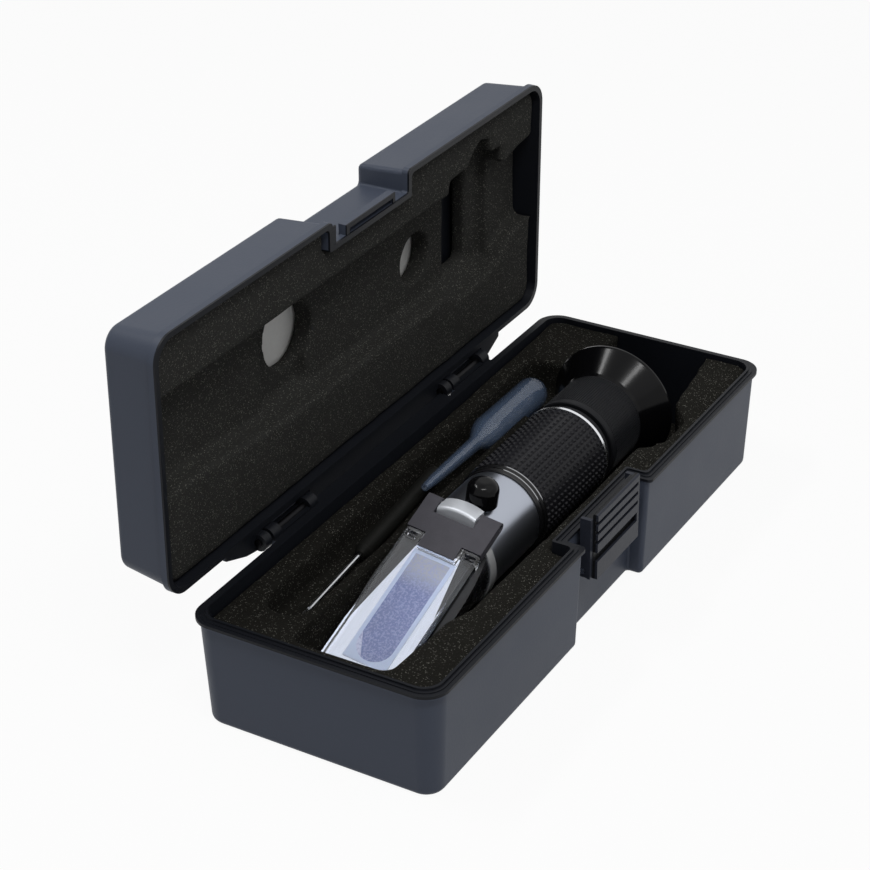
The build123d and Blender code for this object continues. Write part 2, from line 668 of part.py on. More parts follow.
def make_driver_blade():
    """The steel blade with its flattened tip, running into the handle."""
    blade = drum(0, 45, DRIVER_BLADE_R)
    blade -= Pos(1.6, 0, 1.0 + 0.25) * Box(4, 4, 2)
    blade -= Pos(1.6, 0, -1.0 - 0.25) * Box(4, 4, 2)
    return along_driver(blade)


def make_driver_handle():
    """The round handle, grooved for the fingers."""
    handle = turned([(33.2, 0), (33.2, 1.5), (35.5, DRIVER_HANDLE_R), (82.4, DRIVER_HANDLE_R),
                     (84.2, DRIVER_HANDLE_R - 0.9), (84.2, 0)])
    handle -= drum(30, 45, DRIVER_BLADE_R)
    return along_driver(handle)


def placed(shape):
    """Puts a piece of the instrument in its pocket; a group stays a group."""
    if isinstance(shape, list):
        return [INSTRUMENT * piece for piece in shape]
    return INSTRUMENT * shape


def save(name, shape):
    """Writes one node; a list becomes one node of separate solids."""
    if isinstance(shape, list):
        shape = Compound(children=shape)
    export_step(shape, "parts/" + name + ".step")


os.makedirs("parts", exist_ok=True)

save("case_base", make_case_base())
save("case_lid", make_case_lid())
save("hinge_pins", make_hinge_pins())
save("latch_plate", make_latch())
save("latch_pin", make_latch_pin())
save("base_foam", make_base_foam())
save("lid_foam", make_lid_foam())
save("leaflet", make_leaflet())

save("prism_housing", placed(make_prism_housing()))
save("prism_seat", placed(make_prism_seat()))
save("main_prism", placed(make_prism()))
save("prism_frame", placed(make_prism_frame()))
save("front_collar", placed(make_front_collar()))
save("barrel_tube", placed(make_barrel()))
save("hinge_lug", placed(make_hinge_lug()))
save("flap_pin", placed(make_flap_pin()))
save("flap_block", placed(make_flap_block()))
save("daylight_plate", placed(make_daylight_plate()))
save("calibration_screw", placed(make_calibration_screw()))
save("screw_cap", placed(make_screw_cap()))

save("grip_front_ring", placed(make_front_ring()))
save("grip_sleeve", placed(tube(GRIP_START, GRIP_END, GRIP_RADIUS, SLEEVE_SEAT + 0.03)))
save("grip_rear_ring", placed(tube(GRIP_END + 0.05, BARREL_END - 0.05, 14.5, SLEEVE_SEAT + 0.03)))
save("neck_tube", placed(make_neck()))
save("neck_seal", placed(make_neck_seal()))
save("objective_cell", placed(make_objective_cell()))
save("objective_lens", placed(lens(-16, 8.0, 2.0, 0.8)))
save("compensation_strip", placed(make_compensation_strip()))
save("strip_screws", placed(make_strip_screws()))
save("reticle_holder", placed(make_reticle_holder()))
save("reticle_disc", placed(drum(15.6, 16.8, 9.0)))

save("focus_ring", placed(make_focus_ring()))
save("eyecup", placed(make_eyecup()))
save("eyepiece_cell", placed(make_eyepiece_cell()))
save("eyepiece_lens", placed(lens(49.7, 8.5, 1.8, 0.75)))
save("lens_ring", placed(tube(51.2, 51.9, 8.5, 7.2)))

save("pipette", make_pipette())
save("driver_blade", make_driver_blade())
save("driver_handle", make_driver_handle())
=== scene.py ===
from math import atan2, cos, floor, hypot, pi, radians, sin

import bpy
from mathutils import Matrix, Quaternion, Vector


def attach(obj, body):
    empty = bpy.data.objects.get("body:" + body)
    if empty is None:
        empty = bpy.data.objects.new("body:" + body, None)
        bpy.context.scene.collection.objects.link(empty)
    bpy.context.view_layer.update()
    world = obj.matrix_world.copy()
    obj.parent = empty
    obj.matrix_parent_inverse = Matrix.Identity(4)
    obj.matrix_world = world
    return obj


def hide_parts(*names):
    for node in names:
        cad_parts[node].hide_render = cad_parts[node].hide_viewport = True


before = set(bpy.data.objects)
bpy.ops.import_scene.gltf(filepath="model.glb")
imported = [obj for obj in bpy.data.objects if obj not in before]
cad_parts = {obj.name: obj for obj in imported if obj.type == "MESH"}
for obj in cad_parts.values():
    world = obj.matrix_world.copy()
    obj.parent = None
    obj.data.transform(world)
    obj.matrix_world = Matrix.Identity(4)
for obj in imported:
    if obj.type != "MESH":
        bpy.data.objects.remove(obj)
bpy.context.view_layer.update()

# Camera
# It stands above the latch side, towards the prism end, with a long lens, as the
# photograph was taken. It is turned a little about its own line of sight.
CAMERA_PLACE = (-0.5004, -0.2755, 0.3748)
CAMERA_AZIMUTH = radians(-59.298)
CAMERA_RISE = radians(29.71)
CAMERA_ROLL = radians(-0.858)
CAMERA_LENS = 95.25
CAMERA_SENSOR = 36

bpy.ops.object.select_all(action="DESELECT")
bpy.ops.object.camera_add(location=CAMERA_PLACE)
camera = bpy.context.object
camera.data.lens = CAMERA_LENS
camera.data.sensor_width = CAMERA_SENSOR
reach = cos(CAMERA_RISE)
back = Vector((sin(CAMERA_AZIMUTH) * reach, -cos(CAMERA_AZIMUTH) * reach, sin(CAMERA_RISE)))
camera.rotation_mode = "QUATERNION"
camera.rotation_quaternion = back.to_track_quat("Z", "Y") @ Quaternion((0, 0, 1), CAMERA_ROLL)
bpy.context.scene.camera = camera
bpy.context.scene.view_settings.view_transform = "Standard"

# Studio
# A white photographer's tent on a pale floor. The main soft light hangs over the latch side,
# and two narrow ones above the case give the paired streaks on the glossy pieces. Each lamp
# has its name, place, width, height and watts.
LAMPS = [
    ("main_lamp", (0.10, -0.55, 0.75), 0.9, 0.9, 1.1),
    ("far_strip", (-0.183, 0.457, 0.89), 0.40, 0.08, 3.0),
    ("near_strip", (-0.336, -0.32, 0.904), 0.40, 0.08, 3.0),
]
AIM = Vector((0, 0, 0.03))
WHITE = [1, 1, 1, 1]
TENT_LIGHT = [0.13, 0.13, 0.1352, 1]
FLOOR_SIZE = 8
FLOOR_PAINT = [0.8, 0.8, 0.8, 1]
FLOOR_GLOW = 0.94


class Shade:
    """A socket of a node tree that can stand in ordinary sums."""

    def __init__(self, tree, socket):
        self.tree = tree
        self.socket = socket

    def add(self, kind, settings, sockets, out=0):
        """A new node with its settings, then its sockets' values or links; gives one output."""
        node = self.tree.nodes.new("ShaderNode" + kind)
        for name, value in settings.items():
            setattr(node, name, value)
        for name, value in sockets.items():
            self.feed(node.inputs[name], value)
        return Shade(self.tree, node.outputs[out])

    def outputs(self, *names):
        """Other outputs of the node that this socket belongs to."""
        return [Shade(self.tree, self.socket.node.outputs[name]) for name in names]

    def feed(self, target, value):
        """Gives a socket a number, a colour or another shade."""
        if isinstance(value, Shade):
            self.tree.links.new(value.socket, target)
        else:
            target.default_value = value

    def maths(self, operation, first, second):
        return self.add("Math", {"operation": operation}, {0: first, 1: second})

    def __add__(self, other):
        return self.maths("ADD", self, other)

    def __radd__(self, other):
        return self.maths("ADD", other, self)

    def __sub__(self, other):
        return self.maths("SUBTRACT", self, other)

    def __rsub__(self, other):
        return self.maths("SUBTRACT", other, self)

    def __mul__(self, other):
        return self.maths("MULTIPLY", self, other)

    def __rmul__(self, other):
        return self.maths("MULTIPLY", other, self)

    def __gt__(self, other):
        return self.maths("GREATER_THAN", self, other)

    def __lt__(self, other):
        return self.maths("LESS_THAN", self, other)

    def size(self):
        """The number without its sign."""
        return self.maths("ABSOLUTE", self, 0.0)

    def root(self):
        """The square root."""
        return self.maths("SQRT", self, 0.0)

    def either(self, other):
        """The larger of two numbers."""
        return self.maths("MAXIMUM", self, other)


def blend(factor, low, high):
    """A colour between two others."""
    return factor.add("Mix", {"data_type": "RGBA"}, {0: factor, 6: low, 7: high}, out=2)


def seen_rays(tree):
    """1 for rays that show the backdrop itself: to the camera, in a mirror or through glass."""
    path = Shade(tree, None).add("LightPath", {}, {})
    to_camera, in_mirror, through_glass = path.outputs(
        "Is Camera Ray", "Is Glossy Ray", "Is Transmission Ray")
    return to_camera.either(in_mirror).either(through_glass)


def add_lamp(name, place, width, height, power):
    """One soft rectangular lamp, turned towards the object."""
    bpy.ops.object.select_all(action="DESELECT")
    bpy.ops.object.light_add(type="AREA", location=place)
    lamp = bpy.context.object
    lamp.name = name
    lamp.data.shape = "RECTANGLE"
    lamp.data.size = width
    lamp.data.size_y = height
    lamp.data.energy = power
    lamp.rotation_mode = "QUATERNION"
    lamp.rotation_quaternion = (Vector(place) - AIM).to_track_quat("Z", "Y")


world = bpy.data.worlds.new("studio")
bpy.context.scene.world = world
world.use_nodes = True
background = world.node_tree.nodes["Background"]
shown = seen_rays(world.node_tree)
shown.feed(background.inputs["Color"], blend(shown, TENT_LIGHT, WHITE))

for lamp_values in LAMPS:
    add_lamp(*lamp_values)

bpy.ops.object.select_all(action="DESELECT")
bpy.ops.mesh.primitive_plane_add(size=FLOOR_SIZE, location=(0, 0, 0))
ground = bpy.context.object
ground.name = "ground"
paint = bpy.data.materials.new("ground")
paint.use_nodes = True
ground.data.materials.append(paint)
ground_tree = paint.node_tree
matt = ground_tree.nodes["Principled BSDF"]
matt.inputs["Base Color"].default_value = FLOOR_PAINT
matt.inputs["Roughness"].default_value = 1
matt.inputs["Specular IOR Level"].default_value = 0
shown = seen_rays(ground_tree)
glow = shown.add("Emission", {}, {"Color": WHITE, "Strength": 1.0})
lit = Shade(ground_tree, matt.outputs[0])
both = shown.add("MixShader", {}, {0: shown * FLOOR_GLOW, 1: lit, 2: glow})
shown.feed(ground_tree.nodes["Material Output"].inputs["Surface"], both)

# Case base
# The lower half of the case: one satin injection moulding in blue-grey plastic, with a
# rim ridge, the hinge rail and the latch lugs. Its edges are slightly rounded by the mould.


def tone(red, green, blue):
    """A colour as a screen shows it, 0 to 255, turned into the numbers that light adds up in."""
    steps = [value / 255 for value in (red, green, blue)]
    return [v / 12.92 if v < 0.04045 else ((v + 0.055) / 1.055) ** 2.4 for v in steps] + [1]


CASE_COLOUR = tone(73, 79, 92)
CASE_COLOUR_LOW = tone(67, 73, 86)
# Painted shade: the near-black colour for the shaded inner walls, rim and hinge rail.
CASE_PAINTED_SHADE = tone(19, 21, 26)
CASE_GLOSS = 0.14
CASE_CLOUDS = 60
CASE_GRAIN = 1400
GRAIN_HEIGHT = 0.00005
GRAIN_STRENGTH = 0.6
CASE_EDGE = 0.00028
SHARP_ANGLE = radians(30)
FLAT_ANGLE = radians(0.8)
MERGE_GAP = 0.00001
RIM_LOW = 0.03285
BASE_HALF = (0.1025, 0.03835)
BASE_WALL_MIDDLE = 0.0027
INSIDE_CORNER = 0.0055
CAVITY_FLOOR = 0.0019
RECESS_MIDDLE = 0.0003
RECESS_REACH = 0.022
RECESS_BACK = -0.0297


def new_finish(name, colour, roughness, metallic=0.0, gloss=0.5):
    """A material with its plain values, and the object's own coordinates to vary it by."""
    material = bpy.data.materials.new(name)
    material.use_nodes = True
    shader = material.node_tree.nodes["Principled BSDF"]
    shader.inputs["Base Color"].default_value = colour
    shader.inputs["Roughness"].default_value = roughness
    shader.inputs["Metallic"].default_value = metallic
    shader.inputs["Specular IOR Level"].default_value = gloss
    place = Shade(material.node_tree, None).add("TexCoord", {}, {}, out="Object")
    return material, shader, place


def noise(place, scale, detail=2.0):
    """Soft irregular values between 0 and 1, with about scale waves in a metre."""
    return place.add("TexNoise", {}, {"Vector": place, "Scale": scale, "Detail": detail})


def bumps(place, shader, height, distance, strength=1.0):
    """Raises and lowers the surface by a height that is at most the distance."""
    relief = place.add("Bump", {}, {"Height": height, "Distance": distance, "Strength": strength})
    place.feed(shader.inputs["Normal"], relief)


def dress(piece, material):
    """Gives a piece its one material."""
    piece.data.materials.clear()
    piece.data.materials.append(material)


def copied(node, name):
    """A closed copy of a CAD piece, ready to be worked on."""
    piece = bpy.data.objects.new(name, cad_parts[node].data.copy())
    bpy.context.scene.collection.objects.link(piece)
    bpy.ops.object.select_all(action="DESELECT")
    bpy.context.view_layer.objects.active = piece
    piece.select_set(True)
    bpy.ops.mesh.customdata_custom_splitnormals_clear()
    bpy.ops.object.mode_set(mode="EDIT")
    bpy.ops.mesh.select_all(action="SELECT")
    bpy.ops.mesh.remove_doubles(threshold=MERGE_GAP)
    bpy.ops.mesh.normals_make_consistent(inside=False)
    bpy.ops.object.mode_set(mode="OBJECT")
    return piece


def softened(node, name, width, segments=2):
    """A copy of a CAD piece whose sharp edges are rounded."""
    piece = copied(node, name)
    bpy.ops.object.mode_set(mode="EDIT")
    bpy.ops.mesh.dissolve_limited(angle_limit=FLAT_ANGLE)
    bpy.ops.object.mode_set(mode="OBJECT")
    bevel = piece.modifiers.new("edges", "BEVEL")
    bevel.width = width
    bevel.segments = segments
    bevel.limit_method = "ANGLE"
    bevel.angle_limit = SHARP_ANGLE
    bevel.miter_outer = "MITER_ARC"
    bpy.ops.object.modifier_apply(modifier="edges")
    bpy.ops.object.shade_smooth_by_angle(angle=SHARP_ANGLE)
    flat = piece.modifiers.new("flat", "WEIGHTED_NORMAL")
    flat.keep_sharp = True
    bpy.ops.object.modifier_apply(modifier="flat")
    return piece


def take_place(piece, body, slot, *nodes):
    """The piece moves with its body and stands for its CAD nodes, which are hidden; its slot is not used.
    """
    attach(piece, body)
    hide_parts(*nodes)


def split_place(place):
    """The three coordinates of a place, each on its own."""
    return place.add("SeparateXYZ", {}, {"Vector": place}).outputs("X", "Y", "Z")


def within(x, y, half, inset):
    """1 inside the case's rounded plan, drawn in by an inset."""
    over_x = (x.size() + inset - (half[0] - INSIDE_CORNER)).either(0.0)
    over_y = (y.size() + inset - (half[1] - INSIDE_CORNER)).either(0.0)
    return (over_x * over_x + over_y * over_y).root() < INSIDE_CORNER


def case_moulding(name, inside):
    """Satin blue-grey plastic, with painted shade, nearly black, where the inside test gives 1."""
    material, shader, spot = new_finish(name, CASE_COLOUR, 0.42, gloss=CASE_GLOSS)
    cloud = noise(spot, CASE_CLOUDS, detail=3)
    grain = noise(spot, CASE_GRAIN, detail=4)
    outside = blend(cloud * 0.6 + grain * 0.4, CASE_COLOUR_LOW, CASE_COLOUR)
    # Painted shade: nearly black on the inner walls, rim and hinge strip that the mask picks.
    spot.feed(shader.inputs["Base Color"], blend(inside(spot), outside, CASE_PAINTED_SHADE))
    spot.feed(shader.inputs["Roughness"], 0.34 + 0.12 * cloud + 0.1 * grain)
    bumps(spot, shader, grain, GRAIN_HEIGHT, GRAIN_STRENGTH)
    return material


def base_painted_shade(place):
    """1 where shade is painted: on the base's inner walls, on its rim and on the top of the hinge rail."""
    x, y, z = split_place(place)
    walls = within(x, y, BASE_HALF, BASE_WALL_MIDDLE) * (z > CAVITY_FLOOR)
    recess = ((x - RECESS_MIDDLE).size() < RECESS_REACH) * (y < RECESS_BACK)
    return (walls * (1 - recess)).either(z > RIM_LOW)


base = softened("case_base", "case_base_moulding", CASE_EDGE)
dress(base, case_moulding("case_base_plastic", base_painted_shade))
take_place(base, "case", "case_plastic", "case_base")

# Case lid
# The upper half, open and leaning on its hinge: the same moulding, with its lip, the
# flared hinge strip, two knuckles and the slotted ledge that the latch hooks over.
HINGE_Y = 0.0421
HINGE_Z = 0.0335
LID_LEAN = 0.01745
LIP_DEPTH = 0.0011
ROOF_DEPTH = 0.0177
LID_HALF = (0.10235, 0.03865)
LID_WALL_MIDDLE = 0.001
LID_WALL_LEAN = 0.119
LID_RECESS_BACK = -0.0306
LID_RECESS_LEAN = 0.045


def lid_painted_shade(place):
    """1 where shade is painted: on the open lid's inner walls and on the face of its lip and hinge strip.
    """
    x, y, z = split_place(place)
    depth = (y - HINGE_Y) + (z - HINGE_Z) * LID_LEAN
    across = HINGE_Y - (z - HINGE_Z)
    inset = LID_WALL_MIDDLE + depth * LID_WALL_LEAN
    walls = within(x, across, LID_HALF, inset) * (depth < ROOF_DEPTH)
    recess_back = LID_RECESS_BACK + depth * LID_RECESS_LEAN
    recess = ((x - RECESS_MIDDLE).size() < RECESS_REACH) * (across < recess_back)
    return (walls * (1 - recess)).either(depth < LIP_DEPTH)


lid = softened("case_lid", "case_lid_moulding", CASE_EDGE)
dress(lid, case_moulding("case_lid_plastic", lid_painted_shade))
take_place(lid, "lid", "case_plastic", "case_lid")

# Hinge pins
# Two short pins of drawn and blackened steel, pressed into the fixed barrels of the base.
# The lid's knuckles turn on them.
BLACK_STEEL = tone(30, 30, 32)


def dress_nodes(material, *nodes):
    """Gives kept CAD pieces their material."""
    for name in nodes:
        dress(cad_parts[name], material)


pin_finish, pin_shader, spot = new_finish("blackened_steel", BLACK_STEEL, 0.4, metallic=1.0)
spot.feed(pin_shader.inputs["Roughness"], 0.34 + 0.14 * noise(spot, scale=500))
dress_nodes(pin_finish, "hinge_pins")

# Latch
# A separate plate with a ribbed thumb pad, moulded in the case's plastic a shade darker. It
# snaps over the lid's ledge and turns on a bright steel pin in the recess.
LATCH_COLOUR = tone(45, 48, 57)
LATCH_COLOUR_LOW = tone(40, 43, 52)
# Painted shade for the latch's grooves and arms.
LATCH_PAINTED_SHADE = tone(18, 19, 22)
LATCH_EDGE = 0.0002
GROOVE_FLOOR_Y = -0.0374
PAD_HALF = 0.0134
STEEL = tone(196, 198, 202)
DRAWN_MARKS = (40, 900, 900)


def drawn_out(place, waves, scale):
    """Noise that is stretched along some axes, with its waves in a metre given for each."""
    stretched = place.add("Mapping", {}, {"Vector": place, "Scale": waves})
    return noise(stretched, scale)


def latch_moulding():
    """The case's plastic, a shade darker, with painted shade in the grooves and on the arms."""
    material, shader, spot = new_finish("latch_plastic", LATCH_COLOUR, 0.4, gloss=CASE_GLOSS)
    x, y = split_place(spot)[:2]
    grain = noise(spot, CASE_GRAIN, detail=4)
    groove_shade = (y > GROOVE_FLOOR_Y) * ((x - RECESS_MIDDLE).size() < PAD_HALF)
    pad = blend(grain, LATCH_COLOUR_LOW, LATCH_COLOUR)
    # Painted shade: near black in the grooves and on the arms behind the pad.
    spot.feed(shader.inputs["Base Color"], blend(groove_shade, pad, LATCH_PAINTED_SHADE))
    spot.feed(shader.inputs["Roughness"], 0.34 + 0.14 * grain)
    bumps(spot, shader, grain, GRAIN_HEIGHT, GRAIN_STRENGTH)
    return material


latch = softened("latch_plate", "latch_moulding", LATCH_EDGE)
dress(latch, latch_moulding())
take_place(latch, "latch", "case_plastic", "latch_plate")

steel_finish, steel_shader, spot = new_finish("steel", STEEL, 0.25, metallic=1.0)
spot.feed(steel_shader.inputs["Roughness"], 0.16 + 0.2 * drawn_out(spot, DRAWN_MARKS, scale=3))
dress_nodes(steel_finish, "latch_pin")

# Base foam
# A block of dark open-cell foam with the pockets cut into it, pushed into the case. Its
# cells show as a fine rough face, with painted highlights: light specks where cell walls catch the light.
FOAM_DARK = tone(21, 21, 18)
FOAM_PALE = tone(38, 37, 34)
# The colour of the painted highlights on lit cell walls.
FOAM_GLINT_PAINT = tone(118, 117, 110)
FOAM_GLINT_SHARE = 0.07
FOAM_GLINT_CELLS = 3600.0
FOAM_GLOSS = 0.05
FOAM_CELLS = 3000.0
FOAM_CLOUDS = 90
CELL_WALL = 0.12
CELL_DEPTH = 0.00025
FOAM_VOXEL = 0.001
FOAM_SMOOTHINGS = 4
FOAM_SWELL = 0.02
FOAM_UNEVEN = 0.0005


def foam_finish(name, dark, pale, glint_share):
    """Dark open-cell foam, uneven in tone, with a painted highlight speck on a share of its cells."""
    material, shader, spot = new_finish(name, dark, 0.95, gloss=FOAM_GLOSS)
    cells = spot.add("TexVoronoi", {}, {"Vector": spot, "Scale": FOAM_CELLS})
    to_edge = {"feature": "DISTANCE_TO_EDGE"}
    walls = spot.add("TexVoronoi", to_edge, {"Vector": spot, "Scale": FOAM_CELLS})
    chance = spot.add("TexVoronoi", {}, {"Vector": spot, "Scale": FOAM_GLINT_CELLS}, out="Color")
    glinting = spot.add("SeparateColor", {}, {"Color": chance}) > 1 - glint_share
    cloud = noise(spot, FOAM_CLOUDS, detail=3)
    shade = blend(cells * 0.7 + cloud * 0.5, dark, pale)
    # Painted highlights: light specks on a share of the cell walls.
    spot.feed(shader.inputs["Base Color"], blend(glinting * (walls > CELL_WALL), shade, FOAM_GLINT_PAINT))
    bumps(spot, shader, cells + 0.6 * noise(spot, scale=3200, detail=3), CELL_DEPTH, strength=0.8)
    return material


def foamed(node, name, unevenness):
    """A foam insert from its CAD solid: remeshed, its cut edges relaxed, its faces uneven."""
    piece = copied(node, name)
    remesh = piece.modifiers.new("even", "REMESH")
    remesh.mode = "VOXEL"
    remesh.voxel_size = FOAM_VOXEL
    smooth = piece.modifiers.new("relax", "SMOOTH")
    smooth.factor = 0.5
    smooth.iterations = FOAM_SMOOTHINGS
    swell = bpy.data.textures.new(name, "CLOUDS")
    swell.noise_scale = FOAM_SWELL
    wave = piece.modifiers.new("swell", "DISPLACE")
    wave.texture = swell
    wave.strength = unevenness
    wave.mid_level = 0.6
    for modifier in ("even", "relax", "swell"):
        bpy.ops.object.modifier_apply(modifier=modifier)
    bpy.ops.object.shade_smooth()
    return piece


base_foam = foamed("base_foam", "base_foam_block", FOAM_UNEVEN)
dress(base_foam, foam_finish("base_foam", FOAM_DARK, FOAM_PALE, FOAM_GLINT_SHARE))
take_place(base_foam, "case", "foam", "base_foam")

# Lid foam
# A softer block of the same foam in the lid, hollowed over the instrument, with two round
# holes right through it. Its faces are more uneven and greyer than the lower one's.
LID_FOAM_DARK = tone(41, 41, 39)
LID_FOAM_PALE = tone(60, 60, 58)
# Share of the lid foam's cells that get a painted highlight.
LID_FOAM_GLINT_SHARE = 0.09
LID_FOAM_UNEVEN = 0.0009

lid_foam = foamed("lid_foam", "lid_foam_block", LID_FOAM_UNEVEN)
dress(lid_foam, foam_finish("lid_foam", LID_FOAM_DARK, LID_FOAM_PALE, LID_FOAM_GLINT_SHARE))
take_place(lid_foam, "lid", "foam", "lid_foam")

# Leaflet
# A folded sheet of white paper, slipped in flat behind the lid's foam. It shows through
# the foam's round holes.
PAPER = tone(236, 236, 233)
PAPER_LOW = tone(226, 226, 222)
PAPER_FIBRES = 700
FIBRE_HEIGHT = 0.00004

paper_finish, paper_shader, spot = new_finish("paper", PAPER, 0.8)
fibres = noise(spot, PAPER_FIBRES, detail=4)
spot.feed(paper_shader.inputs["Base Color"], blend(fibres, PAPER_LOW, PAPER))
bumps(spot, paper_shader, fibres, FIBRE_HEIGHT)
dress_nodes(paper_finish, "leaflet")

# Prism head
# The cylindrical metal head of the instrument, milled off at the prism's slope and nickel
# plated, with its cut face blackened. A polished plate, narrow at the hinge, surrounds the
# prism.
NICKEL = tone(132, 134, 141)
CUT_BLACK = tone(16, 17, 20)
POLISHED = tone(232, 234, 238)
POLISHED_LOW = tone(214, 216, 222)
POLISH_MARKS = (30, 1500, 30)
SLOPE = radians(23)
ROLL = radians(7.9)
SLOPE_PLACE = (-0.040, -0.005505, 0.038846)
SLOPE_NORMAL = (-sin(SLOPE), -sin(ROLL) * cos(SLOPE), cos(ROLL) * cos(SLOPE))
CUT_DEPTH = 0.0047


def above_slope(place, depth):
    """1 above a plane that lies at a depth under the instrument's sloped face."""
    edge = sum(a * b for a, b in zip(SLOPE_NORMAL, SLOPE_PLACE)) - depth
    x, y, z = split_place(place)
    return x * SLOPE_NORMAL[0] + y * SLOPE_NORMAL[1] + z * SLOPE_NORMAL[2] > edge


head_finish, head_shader, spot = new_finish("housing_metal", NICKEL, 0.3, metallic=1.0)
cut_face = above_slope(spot, CUT_DEPTH)
spot.feed(head_shader.inputs["Base Color"], blend(cut_face, NICKEL, CUT_BLACK))
spot.feed(head_shader.inputs["Metallic"], 1 - cut_face)
spot.feed(head_shader.inputs["Roughness"], 0.24 + 0.06 * noise(spot, scale=400, detail=3) + 0.3 * cut_face)
dress_nodes(head_finish, "prism_housing")

seat_finish, seat_shader, spot = new_finish("seat_metal", POLISHED, 0.12, metallic=1.0)
lines = drawn_out(spot, POLISH_MARKS, scale=1)
spot.feed(seat_shader.inputs["Roughness"], 0.06 + 0.22 * lines)
spot.feed(seat_shader.inputs["Base Color"], blend(lines, POLISHED_LOW, POLISHED))
dress_nodes(seat_finish, "prism_seat")

# Main prism and its seal
# A wedge of glass whose ground face is lavender blue, greyer towards the hinge and paler at
# one side of its end. It is bedded in a pale blue sealing sheet, whose window is round at the
# tip. The seal's sizes are in the sloped face's own directions.
PRISM_BLUE = tone(104, 116, 166)
PRISM_GREY = tone(172, 173, 180)
PRISM_END = tone(214, 216, 236)
PRISM_FLECK = tone(156, 163, 200)
PRISM_END_LEAN = 0.479
PRISM_END_PLACE = 0.0366
GREY_FROM_X = -0.056
GREY_FULL_X = -0.050
GRINDING = 1700
GRINDING_HEIGHT = 0.00004
SEAL_BLUE = tone(205, 216, 236)
SEAL_TIP = -0.0446
SEAL_END = -0.0068
SEAL_HALF = 0.0066
SEAL_LOW = -0.00333
SEAL_THICK = 0.00018
WINDOW_RADIUS = 0.0053
WINDOW_TIP = -0.0380
WINDOW_END = -0.0081
WINDOW_CORNERS = 64
WINDOW_REACH = WINDOW_RADIUS * 1.01
WINDOW_PAST_MIDDLE = WINDOW_TIP + WINDOW_RADIUS * 0.02

prism_finish, prism_shader, spot = new_finish("prism_glass", PRISM_BLUE, 0.35)
along, across = split_place(spot)[:2]
grey_ends = {"From Min": GREY_FROM_X, "From Max": GREY_FULL_X}
grey = spot.add("MapRange", {}, {"Value": along, **grey_ends})
pale_end = across - along * PRISM_END_LEAN > PRISM_END_PLACE
body_colour = blend(pale_end, blend(grey, PRISM_BLUE, PRISM_GREY), PRISM_END)
flecks = noise(spot, GRINDING, detail=1)
fleck_ends = {"From Min": 0.46, "From Max": 0.6, "To Max": 0.75}
fleck_share = spot.add("MapRange", {}, {"Value": flecks, **fleck_ends})
spot.feed(prism_shader.inputs["Base Color"], blend(fleck_share, body_colour, PRISM_FLECK))
bumps(spot, prism_shader, flecks, GRINDING_HEIGHT)
dress_nodes(prism_finish, "main_prism")

bpy.ops.object.select_all(action="DESELECT")
bpy.ops.mesh.primitive_plane_add(size=1, location=((SEAL_TIP + SEAL_END) / 2, 0, SEAL_LOW))
seal = bpy.context.object
seal.name = "prism_seal_sheet"
seal.scale = (SEAL_END - SEAL_TIP, 2 * SEAL_HALF, 1)
bpy.ops.object.transform_apply(location=True, rotation=True, scale=True)
bpy.ops.object.mode_set(mode="EDIT")
bpy.ops.mesh.select_mode(type="VERT")
bpy.ops.mesh.delete(type="ONLY_FACE")
bpy.ops.mesh.primitive_circle_add(
    vertices=WINDOW_CORNERS, radius=WINDOW_RADIUS, location=(WINDOW_TIP, 0, SEAL_LOW))
bpy.ops.object.mode_set(mode="OBJECT")
for vertex in seal.data.vertices:
    vertex.select = abs(vertex.co.y) < WINDOW_REACH and vertex.co.x > WINDOW_PAST_MIDDLE
bpy.ops.object.mode_set(mode="EDIT")
bpy.ops.transform.resize(value=(0, 1, 1), center_override=(WINDOW_END, 0, SEAL_LOW))
bpy.ops.mesh.select_mode(type="EDGE")
bpy.ops.mesh.select_all(action="SELECT")
bpy.ops.mesh.bridge_edge_loops()
bpy.ops.mesh.select_all(action="SELECT")
bpy.ops.mesh.extrude_region_move(TRANSFORM_OT_translate={"value": (0, 0, SEAL_THICK)})
bpy.ops.mesh.select_all(action="SELECT")
bpy.ops.mesh.normals_make_consistent(inside=False)
bpy.ops.object.mode_set(mode="OBJECT")
seal.rotation_mode = "YXZ"
seal.rotation_euler = (ROLL, -SLOPE, 0)
seal.location = SLOPE_PLACE
bpy.ops.object.transform_apply(location=True, rotation=True, scale=True)
seal_finish, seal_shader, spot = new_finish("prism_seal", SEAL_BLUE, 0.4)
spot.feed(seal_shader.inputs["Roughness"], 0.3 + 0.2 * noise(spot, scale=300))
dress(seal, seal_finish)
take_place(seal, "instrument", "prism_seal", "prism_frame")

# Front collar and the grip's rings
# Turned rings that are pressed on: a satin one over the joint of head and barrel, a bright
# chrome one behind the grip, and a black one before the grip with two bright beads.
CHROME = tone(226, 228, 232)
COLLAR_METAL = tone(186, 187, 188)
BEAD_BRIGHT = tone(168, 169, 172)
BEAD_BLACK = tone(16, 16, 18)
BEADS_X = (-0.00655, -0.00485)
BEAD_HALF = 0.00016
RING_CLOUDS = 500

chrome_finish, chrome_shader, spot = new_finish("chrome_trim", CHROME, 0.1, metallic=1.0)
spot.feed(chrome_shader.inputs["Roughness"], 0.2 + 0.1 * noise(spot, RING_CLOUDS, detail=3))
dress_nodes(chrome_finish, "grip_rear_ring")

collar_finish, collar_shader, spot = new_finish("satin_collar", COLLAR_METAL, 0.4, metallic=0.35)
spot.feed(collar_shader.inputs["Roughness"], 0.38 + 0.1 * noise(spot, RING_CLOUDS, detail=3))
dress_nodes(collar_finish, "front_collar")

